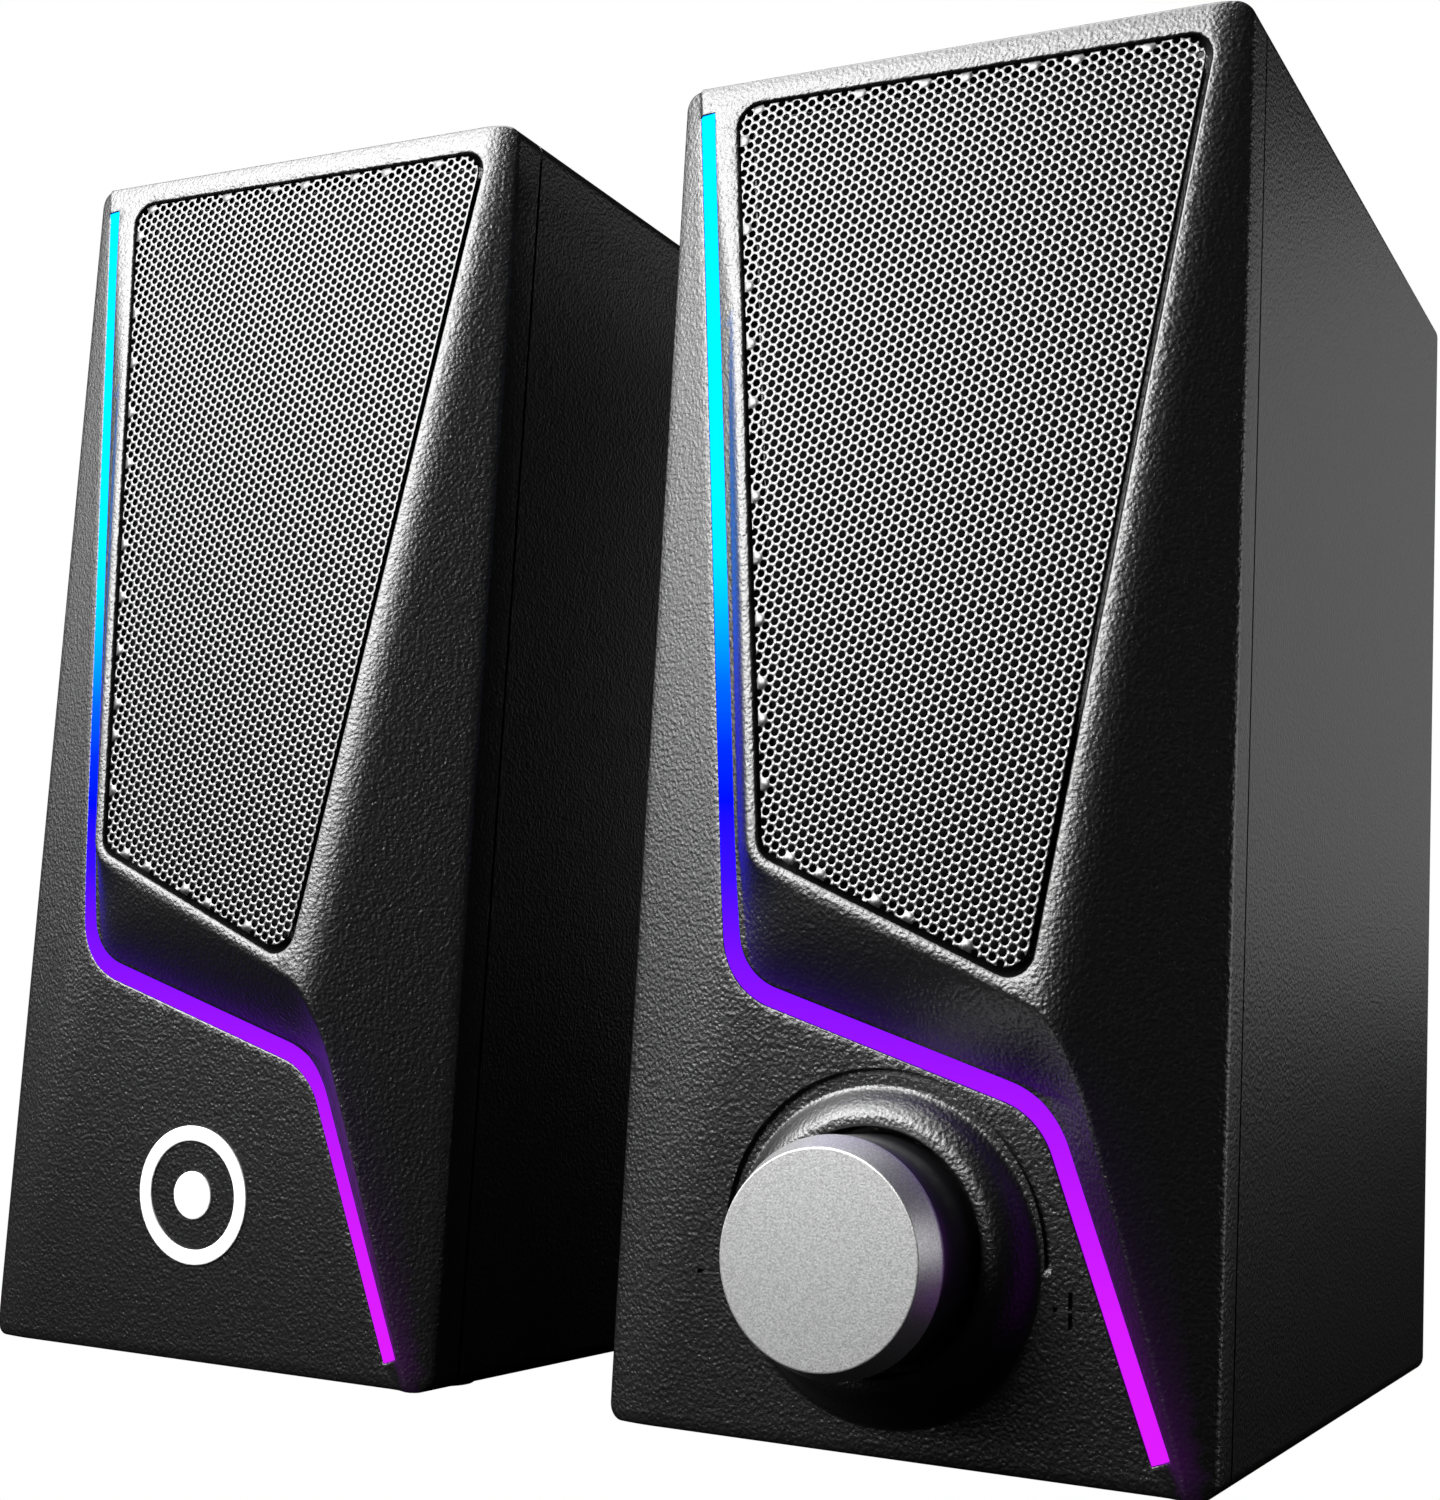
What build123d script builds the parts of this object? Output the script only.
"""Pair of two-way tilted-front desktop speakers: cabinets, drivers, light strips, volume knob and amplifier."""
import os
from math import atan2, cos, degrees, hypot, pi, sin

from build123d import *

os.makedirs("parts", exist_ok=True)

# ---------------------------------------------------------------- driving dimensions (mm)
WIDTH = 90.0            # cabinet width
HEIGHT = 200.0          # cabinet height without feet
DEPTH = 140.0           # border of the front panel to the rear wall
PITCH = 121.0           # spacing of the two speakers as they stand
FOOT = 2.0              # feet below the cabinet
KNOB_REACH = 24.1       # knob face in front of the panel border
CORNER = 2.4            # corner radius seen from the front
WALL = 2.5              # cabinet wall
RETURN = 6.0            # depth of the panel's side return
SEAM = 0.6              # gap between panel and cabinet
SKIN = 3.0              # panel skin under the outer facets
DECK = 6.0              # panel thickness under the grille platform

# The panel's facets. Each is (a, bx, bz): it stands a + bx*x + bz*z proud of the border.
LEFT_FACET = (0.3, 0.38, 0.0)
LOWER_FACET = (1.5, 0.0, 0.09)
PLATFORM = (18.9, 0.0, -0.0837)
RIGHT_FACET = (0.25 + 0.68 * WIDTH, -0.68, 0.0)

# Centre line of the light strip, from its top end to its lower right end, with bend radii.
STRIP = [(5.0, 195.4), (20.4, 63.1), (67.3, 48.2), (83.0, 4.2)]
STRIP_BENDS = (10.0, 12.0)
STRIP_WIDTH = 2.8

GRILLE = [(10.3, 196.0), (85.2, 195.6), (66.8, 63.4), (25.9, 80.6)]
GRILLE_CORNER = 3.5
GRILLE_THICK = 0.8
GRILLE_SINK = 0.6
POCKET = 3.4            # depth of the pocket behind the grille
LEDGE = 2.0             # rim the grille rests on

KNOB_X, KNOB_Z = 43.8, 28.0
KNOB_R = 15.6
WELL_R = 16.4
COLLAR_TOP_R = 18.2
COLLAR_R = 23.4
COLLAR_RISE = 5.4
ARC_R = 24.3

DRIVER_X, DRIVER_Z = 48.2, 150.0
FLANGE_R = 30.0
BOLT_R = 28.0
CONE_R = 21.0

PLATE_Z = 48.0          # height of the jack plate on the rear wall
PLATE_HOLES = [(WIDTH / 2 + i * 29.0, PLATE_Z + j * 11.0) for i in (-1, 1) for j in (-1, 1)]
JACK_X = {"power": 62.0, "aux": 45.0, "link": 29.0}
PORT_Z = 148.0
BUTTON_Z, BUTTON_R = 84.0, 4.0
BOARD_Z = PLATE_Z - 6.2     # underside of the amplifier board
STANDOFFS = [(20.0, DEPTH - 56), (60.0, DEPTH - 56), (20.0, DEPTH - 20), (60.0, DEPTH - 20)]

REAR_REACH = 1.5        # jack noses behind the rear wall
Y0 = -(DEPTH + REAR_REACH + KNOB_REACH) / 2 + KNOB_REACH
LEFT_EDGE = {"right": (PITCH - WIDTH) / 2, "left": -(PITCH + WIDTH) / 2}

made = {}


def put(name, shape):
    """Keeps a finished piece and writes its file."""
    made[name] = shape
    export_step(shape, f"parts/{name}.step")


def behind(side, facet, shift=0.0):
    """Everything behind one facet of the panel, moved back by shift."""
    a, bx, bz = facet
    x, z = WIDTH / 2, HEIGHT / 2
    where = (LEFT_EDGE[side] + x, Y0 - (a + bx * x + bz * z) + shift, FOOT + z)
    plane = Plane(origin=where, x_dir=(1, -bx, 0), z_dir=(-bx, -1, -bz))
    return plane * Box(700, 700, 260, align=(Align.CENTER, Align.CENTER, Align.MAX))


def proud(facet, x, z):
    """How far a facet stands in front of the border at a point."""
    return facet[0] + facet[1] * x + facet[2] * z


def at(side, x, y, z):
    """A point given from the cabinet's lower left front corner."""
    return (LEFT_EDGE[side] + x, Y0 + y, FOOT + z)


def upright(side, y=0.0):
    """Drawing plane across the front of one speaker; its normal points forwards."""
    return Plane(origin=at(side, 0, y, 0), x_dir=(1, 0, 0), z_dir=(0, -1, 0))


def slab(side, sketch, y0, y1):
    """A drawing on the front plane, pulled from depth y0 back to depth y1."""
    return extrude(upright(side, y1) * sketch, y1 - y0)


def wall_plane(p, q, foot, slope):
    """Facet that rises from the line p-q (at the height of the facet foot) towards its left-hand side."""
    dx, dz = q[0] - p[0], q[1] - p[1]
    size = hypot(dx, dz)
    nx, nz = -dz / size, dx / size
    rise_p, rise_q = proud(foot, *p), proud(foot, *q)
    along = (rise_q - rise_p) / size
    bx = along * dx / size + slope * nx
    bz = along * dz / size + slope * nz
    return (rise_p - bx * p[0] - bz * p[1], bx, bz)


def beside(p, q, step):
    """The line p-q moved sideways to its left."""
    dx, dz = q[0] - p[0], q[1] - p[1]
    size = hypot(dx, dz)
    return ((p[0] - dz / size * step, p[1] + dx / size * step),
            (q[0] - dz / size * step, q[1] + dx / size * step))


HALF = STRIP_WIDTH / 2
LEFT_SUNK = (LEFT_FACET[0] - LEFT_FACET[1] * STRIP_WIDTH, *LEFT_FACET[1:])
WALL_UP = wall_plane(*beside(STRIP[0], STRIP[1], HALF), LEFT_SUNK, 1.1)
FACE_UP = wall_plane(*beside(STRIP[0], STRIP[1], -HALF), LEFT_FACET, 0.0)
WALL_ACROSS = wall_plane(*beside(STRIP[1], STRIP[2], HALF), LOWER_FACET, 0.47)
WALL_DOWN = wall_plane(*beside(STRIP[2], STRIP[3], HALF), LOWER_FACET, 0.95)


def outline(inset=0.0):
    """Front view of the cabinet, drawn from its lower left corner."""
    shape = RectangleRounded(WIDTH - 2 * inset, HEIGHT - 2 * inset, max(CORNER - inset, 0.8))
    return Pos(WIDTH / 2, HEIGHT / 2) * shape


def band(width, grow=0.0):
    """The strip's band with square ends, made from its two offset edges."""
    def shifted(step):
        lines = [beside(STRIP[i], STRIP[i + 1], step) for i in range(3)]
        def cross(l1, l2):
            (x1, z1), (x2, z2) = l1
            (x3, z3), (x4, z4) = l2
            d1, d2 = (x2 - x1, z2 - z1), (x4 - x3, z4 - z3)
            t = ((x3 - x1) * d2[1] - (z3 - z1) * d2[0]) / (d1[0] * d2[1] - d1[1] * d2[0])
            return (x1 + t * d1[0], z1 + t * d1[1])
        def stretch(p, q):
            size = hypot(q[0] - p[0], q[1] - p[1])
            return (q[0] + (q[0] - p[0]) / size * grow, q[1] + (q[1] - p[1]) / size * grow)
        first = stretch(lines[0][1], lines[0][0])
        last = stretch(lines[2][0], lines[2][1])
        return [first, cross(lines[0], lines[1]), cross(lines[1], lines[2]), last]
    left, right = shifted(width / 2), shifted(-width / 2)
    face = make_face(Polyline(*left, *reversed(right), close=True))
    def corner(points, k):
        return face.vertices().sort_by(lambda v: hypot(v.X - points[k][0], v.Y - points[k][1]))[0]
    for points, k, radius in ((left, 1, STRIP_BENDS[0] - width / 2), (right, 1, STRIP_BENDS[0] + width / 2),
                              (left, 2, STRIP_BENDS[1] + width / 2), (right, 2, STRIP_BENDS[1] - width / 2)):
        face = fillet(corner(points, k), radius)
    return face


def grille_outline(inset=0.0):
    """Front view of the grille with rounded corners."""
    face = make_face(Polyline(*GRILLE, close=True))
    face = fillet(face.vertices(), GRILLE_CORNER)
    return offset(face, amount=-inset) if inset else face


def raised(side, shift, depth):
    """The platform, its right flank and the walls that drop to the light strip."""
    walls = behind(side, WALL_ACROSS, shift) + behind(side, WALL_DOWN, shift)
    body = slab(side, outline(), -20, depth)
    for facet in (PLATFORM, RIGHT_FACET, WALL_UP):
        body = body & behind(side, facet, shift)
    return body & walls


def low(side, shift, deck, depth):
    """The facets outside the light strip, limited by the platform."""
    body = slab(side, outline(), -20, depth)
    for facet in (LEFT_FACET, LOWER_FACET, RIGHT_FACET):
        body = body & behind(side, facet, shift)
    return body & behind(side, PLATFORM, deck)


def hollow(side, shift=0.0):
    """The room behind the panel's skin."""
    room = low(side, SKIN + shift, DECK + shift, 30) + raised(side, DECK + shift, 30)
    return room & slab(side, outline(WALL + shift), -20, 30)


def rod(side, x, z, radius, y0, y1):
    """A round bar along the depth."""
    return slab(side, Pos(x, z) * Circle(radius), y0, y1)


POSTS = [(8.5, 10.0), (70.0, 8.5), (16.0, 190.5), (80.5, 189.0)]
DRIVER_TILT = atan2(-PLATFORM[2], 1.0)


def driver_frame(side):
    """Plane on the deck's inner face, centred on the driver; its normal points to the listener."""
    depth = -proud(PLATFORM, DRIVER_X, DRIVER_Z) + DECK
    return Plane(origin=at(side, DRIVER_X, depth, DRIVER_Z), x_dir=(1, 0, 0),
                 z_dir=(0, -cos(DRIVER_TILT), sin(DRIVER_TILT)))


def turned(points):
    """A closed profile of (radius, height) points, revolved."""
    return revolve(make_face(Plane.XZ * Polyline(*points, close=True)), Axis.Z)


def screw(radius, head_r, head_h, length):
    """Pan-head screw with a cross recess, head up, seated at height 0."""
    body = Cylinder(radius, length, align=(Align.CENTER, Align.CENTER, Align.MAX))
    head = Cylinder(head_r, head_h, align=(Align.CENTER, Align.CENTER, Align.MIN))
    head = fillet(head.edges().sort_by(Axis.Z)[-1], head_h * 0.45)
    slot_a = Pos(0, 0, head_h) * Box(head_r * 1.1, head_r * 0.24, head_h)
    slot_b = Rot(0, 0, 90) * slot_a
    return body + (head - slot_a - slot_b)


# ---------------------------------------------------------------- panels, cabinets and grilles
for side in ("right", "left"):
    front = low(side, 0.0, 0.0, RETURN - SEAM / 2) + raised(side, 0.0, RETURN - SEAM / 2)
    tongue = slab(side, outline(WALL / 2 + 0.15), 0, RETURN + 4)
    front = front + (tongue & slab(side, outline(), 1, RETURN + 4))
    room = hollow(side)
    front = front - room
    if side == "right":
        base = proud(LOWER_FACET, KNOB_X, KNOB_Z)
        cone = loft([
            upright(side, -base + 2.2) * (Pos(KNOB_X, KNOB_Z) * Circle(COLLAR_R + 0.6)),
            upright(side, -base - COLLAR_RISE) * (Pos(KNOB_X, KNOB_Z) * Circle(COLLAR_TOP_R)),
        ])
        rim = cone.edges().filter_by(GeomType.CIRCLE).sort_by(Axis.Y)[0]
        cone = fillet(rim, 1.2)
        front = front + (cone - room)
        front = front - rod(side, KNOB_X, KNOB_Z, WELL_R, -base - 20, -base + 0.6)
        front = front - rod(side, KNOB_X, KNOB_Z, 3.6, -30, 30)
        ring = slab(side, Pos(KNOB_X, KNOB_Z) * (Circle(ARC_R + 0.4) - Circle(ARC_R - 0.4)), -20, 4)
        ring = ring & slab(side, Pos(KNOB_X, KNOB_Z + 24) * Rectangle(60, 50), -20, 4)
        front = front - (ring - behind(side, LOWER_FACET, 0.6))
        marks = Pos(16.6, 22.5) * Rectangle(3.0, 0.6)
        marks = marks + Pos(70.7, 22.2) * Rectangle(4.8, 0.6) + Pos(70.7, 22.2) * Rectangle(0.6, 4.8)
        front = front - (slab(side, marks, -20, 4) - behind(side, LOWER_FACET, 0.4))
    seat = slab(side, grille_outline(), -20, 4) - behind(side, PLATFORM, GRILLE_SINK + GRILLE_THICK)
    pocket = slab(side, grille_outline(LEDGE), -20, 4) - behind(side, PLATFORM, POCKET)
    front = front - seat - pocket
    slot = slab(side, band(STRIP_WIDTH), -20, 12)
    front = front - slot
    frame = driver_frame(side)
    front = front - frame * Cylinder(CONE_R + 5.0, 12)
    for k in range(4):
        spot = Rot(0, 0, 45 + 90 * k) * Pos(BOLT_R, 0, 0)
        front = front - frame * spot * Cylinder(1.25, 2.0, align=(Align.CENTER, Align.CENTER, Align.MIN))
    put(f"{side}_front_panel", front)
    posts = []
    for x, z in POSTS:
        top = min(proud(f, x, z) for f in (LEFT_FACET, LOWER_FACET, RIGHT_FACET, PLATFORM))
        start = SKIN if z < HEIGHT / 2 else DECK - 1.5
        post = rod(side, x, z, 3.2, -top + start, DEPTH - 3.2) - front
        posts.append(post - rod(side, x, z, 1.3, DEPTH - 20, DEPTH))
    put(f"{side}_posts", Compound(children=posts))

    shell = slab(side, outline(), RETURN + SEAM / 2, DEPTH)
    back = shell.faces().sort_by(Axis.Y)[-1]
    shell = fillet(back.edges(), 2.0)
    shell = shell - slab(side, outline(WALL), 0, DEPTH - 3.0)
    shell = shell - slab(side, outline(WALL / 2), RETURN - 1, RETURN + 4.2)
    for x, z in POSTS:
        shell = shell - rod(side, x, z, 1.6, DEPTH - 4, DEPTH + 1)
        shell = shell - rod(side, x, z, 3.0, DEPTH - 1.8, DEPTH + 1)
    shell = shell - rod(side, WIDTH / 2, PORT_Z, 12.0, DEPTH - 10, DEPTH + 1)
    shell = shell - slab(side, Pos(WIDTH / 2, PLATE_Z) * Rectangle(54, 26), DEPTH - 10, DEPTH + 1)
    shell = shell - slab(side, Pos(WIDTH / 2, PLATE_Z) * RectangleRounded(62, 34, 3), DEPTH - 1.6, DEPTH + 1)
    feet = []
    for x in (14, WIDTH - 14):
        for y in (20, DEPTH - 16):
            spot = at(side, x, y, 0)
            shell = shell - Pos(spot) * Cylinder(6.6, 2.0)
            pad = Cylinder(6.4, FOOT + 1.0, align=(Align.CENTER, Align.CENTER, Align.MIN))
            pad = chamfer(pad.edges().sort_by(Axis.Z)[0], 0.6)
            feet.append(Pos(spot[0], spot[1], 0) * pad)
    for x, z in PLATE_HOLES:
        shell = shell - rod(side, x, z, 0.95, DEPTH - 10, DEPTH + 1)
    if side == "right":
        shell = shell - rod(side, WIDTH / 2, BUTTON_Z, BUTTON_R + 0.08, DEPTH - 10, DEPTH + 1)
        for x, y in STANDOFFS:
            column = Pos(at(side, x, y, 1.0)) * Cylinder(3.0, BOARD_Z - 1.0, align=(Align.CENTER, Align.CENTER, Align.MIN))
            pilot = Pos(at(side, x, y, BOARD_Z)) * Cylinder(1.3, 12, align=(Align.CENTER, Align.CENTER, Align.MAX))
            shell = shell + column - pilot
    put(f"{side}_rear_shell", shell)
    put(f"{side}_feet", Compound(children=feet))

    plate = slab(side, grille_outline(0.1), -20, 4)
    plate = plate & behind(side, PLATFORM, GRILLE_SINK)
    plate = plate - behind(side, PLATFORM, GRILLE_SINK + GRILLE_THICK)
    put(f"{side}_grille", plate)
    cloth = slab(side, grille_outline(LEDGE + 0.2), -20, 4)
    cloth = cloth & behind(side, PLATFORM, GRILLE_SINK + GRILLE_THICK)
    cloth = cloth - behind(side, PLATFORM, GRILLE_SINK + GRILLE_THICK + 0.4)
    put(f"{side}_grille_cloth", cloth)

    guide = slab(side, band(STRIP_WIDTH - 0.1, -0.05), -20, 12) & low(side, -0.15, -0.15, 12)
    guide = guide & behind(side, FACE_UP, -0.15)
    guide = guide - room
    put(f"{side}_light_guide", guide)
    flex = slab(side, band(5.0, 0.5), -20, 12) & hollow(side, 0.1)
    flex = flex - hollow(side, 1.1)
    put(f"{side}_led_board", flex)

    screws = []
    for x, z in POSTS:
        head = Plane(origin=at(side, x, DEPTH - 1.8, z), x_dir=(-1, 0, 0), z_dir=(0, 1, 0))
        screws.append(head * screw(1.25, 2.7, 1.5, 14))
    put(f"{side}_panel_screws", Compound(children=screws))

    tube = turned([(9.6, 1.2), (14.2, 1.2), (14.2, 0.0), (11.9, 0.0), (11.9, -44.0), (10.0, -44.0), (9.6, -6.0)])
    rear = Plane(origin=at(side, WIDTH / 2, DEPTH, PORT_Z), x_dir=(-1, 0, 0), z_dir=(0, 1, 0))
    put(f"{side}_port_tube", rear * tube)


# ---------------------------------------------------------------- drivers
def rear_frame(side, x, z):
    """Plane on the rear wall's outer face; its normal points backwards."""
    return Plane(origin=at(side, x, DEPTH, z), x_dir=(-1, 0, 0), z_dir=(0, 1, 0))


def dome(radius, rise, thick):
    """A shallow cap whose edge is at height 0."""
    ball = (radius ** 2 + rise ** 2) / (2 * rise)
    outer = Pos(0, 0, rise - ball) * Sphere(ball)
    inner = Pos(0, 0, rise - ball) * Sphere(ball - thick)
    keep = Cylinder(radius + 1, rise + 1, align=(Align.CENTER, Align.CENTER, Align.MIN))
    return (outer - inner) & keep


for side in ("right", "left"):
    frame = driver_frame(side)
    basket = turned([(24.4, 0), (FLANGE_R, 0), (FLANGE_R, -1.2), (25.8, -1.2), (25.2, -7.6), (15.6, -18.0),
                     (9.6, -18.0), (9.6, -16.8), (14.8, -16.8), (24.0, -7.0)])
    for k in range(4):
        basket = basket - Rot(0, 0, 90 * k) * Pos(21, 0, -12.2) * Box(12, 15, 7.4)
        basket = basket - Rot(0, 0, 45 + 90 * k) * Pos(BOLT_R, 0, 0) * Cylinder(1.25, 4)
    put(f"{side}_driver_basket", frame * basket)

    front_plate = turned([(8.4, -18.0), (15.6, -18.0), (15.6, -21.0), (8.4, -21.0)])
    back_plate = turned([(0, -29.0), (15.6, -29.0), (15.6, -32.0), (0, -32.0)])
    pole = Pos(0, 0, -29.0) * Cylinder(7.0, 11.0, align=(Align.CENTER, Align.CENTER, Align.MIN))
    put(f"{side}_driver_plates", Compound(children=[frame * front_plate, frame * (back_plate + pole)]))
    magnet = turned([(9.8, -21.0), (19.0, -21.0), (19.0, -29.0), (9.8, -29.0)])
    put(f"{side}_driver_magnet", frame * chamfer(magnet.edges().filter_by(GeomType.CIRCLE).sort_by(SortBy.RADIUS)[-2:], 0.8))

    coil = turned([(7.5, -24.0), (7.9, -24.0), (7.9, -8.6), (7.5, -8.6)])
    put(f"{side}_voice_coil", frame * coil)
    cone = turned([(7.9, -9.4), (CONE_R, -1.3), (CONE_R, -0.7), (20.6, -0.7), (7.9, -8.6)])
    put(f"{side}_cone", frame * cone)
    put(f"{side}_dust_cap", frame * (Pos(0, 0, -7.4) * dome(9.0, 3.6, 0.5)))

    roll_r = (CONE_R + 0.35 + 24.3) / 2
    roll = Plane.XZ * (Pos(roll_r, 0.25) * (Circle(1.45) - Circle(1.0)) & Pos(roll_r, 1.25) * Rectangle(4, 2))
    lips = Plane.XZ * (Pos((24.0 + 25.7) / 2, 0.25) * Rectangle(1.7, 0.5))
    surround = revolve(roll, Axis.Z) + revolve(lips, Axis.Z)
    put(f"{side}_surround", frame * surround)
    waves = [(8.4, -15.2)] + [(8.9 + 0.9 * k, -15.2 + 0.8 * (k % 2)) for k in range(5)] + [(13.2, -16.3), (14.5, -16.3)]
    under = [(14.5, -16.8), (12.9, -16.8)] + [(8.9 + 0.9 * k, -15.6 + 0.8 * (k % 2)) for k in range(4, -1, -1)]
    put(f"{side}_spider", frame * turned(waves + under + [(8.4, -15.6)]))
    bolts = []
    for k in range(4):
        seat = Rot(0, 0, 45 + 90 * k) * Pos(BOLT_R, 0, -1.2) * Rot(180, 0, 0)
        bolts.append(frame * seat * screw(1.2, 1.75, 1.2, 3.0))
    put(f"{side}_driver_screws", Compound(children=bolts))

# ---------------------------------------------------------------- jack plates and sockets
def jack(side, x):
    """3.5 mm jack: box behind the plate, threaded nose through it and a round nut outside."""
    box = Pos(0, 0, -13.6) * Box(9, 9, 12, align=(Align.CENTER, Align.CENTER, Align.MIN))
    nose = Pos(0, 0, -2.0) * Cylinder(3.1, 3.4, align=(Align.CENTER, Align.CENTER, Align.MIN))
    nut = Cylinder(4.4, 1.0, align=(Align.CENTER, Align.CENTER, Align.MIN))
    nut = chamfer(nut.edges().sort_by(Axis.Z)[-1], 0.3)
    bore = Pos(0, 0, 1.5) * Cylinder(1.8, 14.0, align=(Align.CENTER, Align.CENTER, Align.MAX))
    return rear_frame(side, x, PLATE_Z) * (box + nose + nut - bore)


for side in ("right", "left"):
    plate = slab(side, Pos(WIDTH / 2, PLATE_Z) * RectangleRounded(61.6, 33.6, 2.8), DEPTH - 1.6, DEPTH)
    for x, z in PLATE_HOLES:
        plate = plate - rod(side, x, z, 0.95, DEPTH - 4, DEPTH + 1)
    names = ("aux", "link") if side == "right" else ("aux",)
    for name in names:
        plate = plate - rod(side, JACK_X[name], PLATE_Z, 3.15, DEPTH - 4, DEPTH + 1)
    if side == "right":
        plate = plate - slab(side, Pos(JACK_X["power"], PLATE_Z) * RectangleRounded(9.1, 3.4, 1.65), DEPTH - 4, DEPTH + 1)
    put(f"{side}_jack_plate", plate)
    screws = [rear_frame(side, x, z) * screw(0.9, 1.7, 1.0, 6.0) for x, z in PLATE_HOLES]
    put(f"{side}_jack_plate_screws", Compound(children=screws))

put("aux_jack", jack("right", JACK_X["aux"]))
put("speaker_out_jack", jack("right", JACK_X["link"]))
put("speaker_in_jack", jack("left", JACK_X["aux"]))
shell = extrude(RectangleRounded(9.0, 3.3, 1.6), -8.0)
shell = shell - Pos(0, 0, -6.5) * extrude(RectangleRounded(8.3, 2.6, 1.25), 6.5)
tongue = Pos(0, 0, -7.0) * Box(6.7, 0.7, 5.6, align=(Align.CENTER, Align.CENTER, Align.MIN))
put("power_inlet", rear_frame("right", JACK_X["power"], PLATE_Z) * (Pos(0, 0, 0.3) * (shell + tongue)))

# ---------------------------------------------------------------- light button on the rear
rear = rear_frame("right", WIDTH / 2, BUTTON_Z)
cap = Pos(0, 0, -3.4) * Cylinder(BUTTON_R, 4.8, align=(Align.CENTER, Align.CENTER, Align.MIN))
cap = fillet(cap.edges().sort_by(Axis.Z)[-1], 0.5)
cap = cap + Pos(0, 0, -4.0) * Cylinder(BUTTON_R + 0.5, 0.8, align=(Align.CENTER, Align.CENTER, Align.MIN))
put("light_button", rear * cap)
switch = Pos(0, 0, -11.0) * Box(13, 13, 8, align=(Align.CENTER, Align.CENTER, Align.MIN))
switch = switch - Pos(0, 0, -6.5) * Cylinder(BUTTON_R + 0.9, 4, align=(Align.CENTER, Align.CENTER, Align.MIN))
put("button_switch", rear * switch)

# ---------------------------------------------------------------- volume control
def knob_frame(y):
    """Plane across the knob's axis, y behind the border; its normal points forwards."""
    return Plane(origin=at("right", KNOB_X, y, KNOB_Z), x_dir=(1, 0, 0), z_dir=(0, -1, 0))


floor_y = -proud(LOWER_FACET, KNOB_X, KNOB_Z) + 0.6
MIN_UP = (Align.CENTER, Align.CENTER, Align.MIN)
body = Box(16, 16, 7.4, align=(Align.CENTER, Align.CENTER, Align.MAX))
bushing = Cylinder(3.5, 6.2, align=MIN_UP)
bore = Pos(0, 0, -6.4) * Cylinder(3.05, 14, align=MIN_UP)
put("pot_body", knob_frame(-0.2) * (body + bushing - bore))
nut = extrude(RegularPolygon(5.6, 6), 2.2) - Cylinder(3.5, 10)
put("pot_nut", knob_frame(floor_y) * nut)
shaft = Cylinder(3.0, 23.0, align=MIN_UP)
put("pot_shaft", knob_frame(5.0) * chamfer(shaft.edges().sort_by(Axis.Z)[-1], 0.5))

SKIRT_BACK = floor_y - 1.2
SKIRT_FRONT = -KNOB_REACH + 5.0
length = SKIRT_BACK - SKIRT_FRONT
skirt = Cylinder(KNOB_R - 0.15, length, align=MIN_UP)
skirt = chamfer(skirt.edges().sort_by(Axis.Z)[0], 0.5)
skirt = skirt - Cylinder(13.4, 8.0, align=MIN_UP) + Pos(0, 0, 2.2) * Cylinder(5.6, 8.0, align=MIN_UP)
skirt = skirt - Pos(0, 0, -1) * Cylinder(3.0, -SKIRT_FRONT - 4.6 + 1 - 0.6 - (-SKIRT_BACK - 4.6) + 0.6, align=MIN_UP)
put("knob_skirt", knob_frame(SKIRT_BACK) * skirt)
cap = Cylinder(KNOB_R, 1.0, align=MIN_UP) + Pos(0, 0, 1.0) * Cone(KNOB_R, KNOB_R - 1.5, 4.0, align=MIN_UP)
put("knob_cap", knob_frame(SKIRT_FRONT) * cap)

# ---------------------------------------------------------------- amplifier
def on_board(x, y, z=0.0):
    """A point on the amplifier board's upper face."""
    return Pos(at("right", x, y, BOARD_Z + 1.6 + z))


board = Pos(at("right", 42.0, DEPTH - 38, BOARD_Z)) * Box(62, 50, 1.6, align=MIN_UP)
for x, y in STANDOFFS:
    board = board - Pos(at("right", x, y, BOARD_Z)) * Cylinder(1.3, 6)
put("amp_board", board)
put("board_screws", Compound(children=[on_board(x, y) * screw(1.25, 2.4, 1.3, 8.0) for x, y in STANDOFFS]))
sink = Box(34, 12, 3, align=MIN_UP)
for k in range(7):
    sink = sink + Pos(-15.0 + 5.0 * k, 0, 0) * Box(1.6, 12, 18, align=MIN_UP)
put("amp_heatsink", on_board(40, DEPTH - 44, 2.0) * sink)
put("amp_chip", on_board(40, DEPTH - 44) * Box(14, 10, 2.0, align=MIN_UP))
cans = []
for x, radius, tall in ((16.0, 4.0, 12.0), (27.0, 4.0, 12.0), (38.0, 5.0, 14.0), (52.0, 3.2, 9.0), (62.0, 3.2, 9.0)):
    can = Cylinder(radius, tall, align=MIN_UP)
    can = fillet(can.edges().sort_by(Axis.Z)[-1], 0.6)
    cans.append(on_board(x, DEPTH - 30) * can)
put("amp_capacitors", Compound(children=cans))

# ---------------------------------------------------------------- badge of the left speaker
ring = Circle(11.0) - Circle(8.6) + Circle(3.8)
mark = slab("left", Pos(43.5, 26.2) * ring, -20, 4) & behind("left", LOWER_FACET, -0.3)
put("badge", mark - behind("left", LOWER_FACET, 0.0))

print(len(made), "pieces")
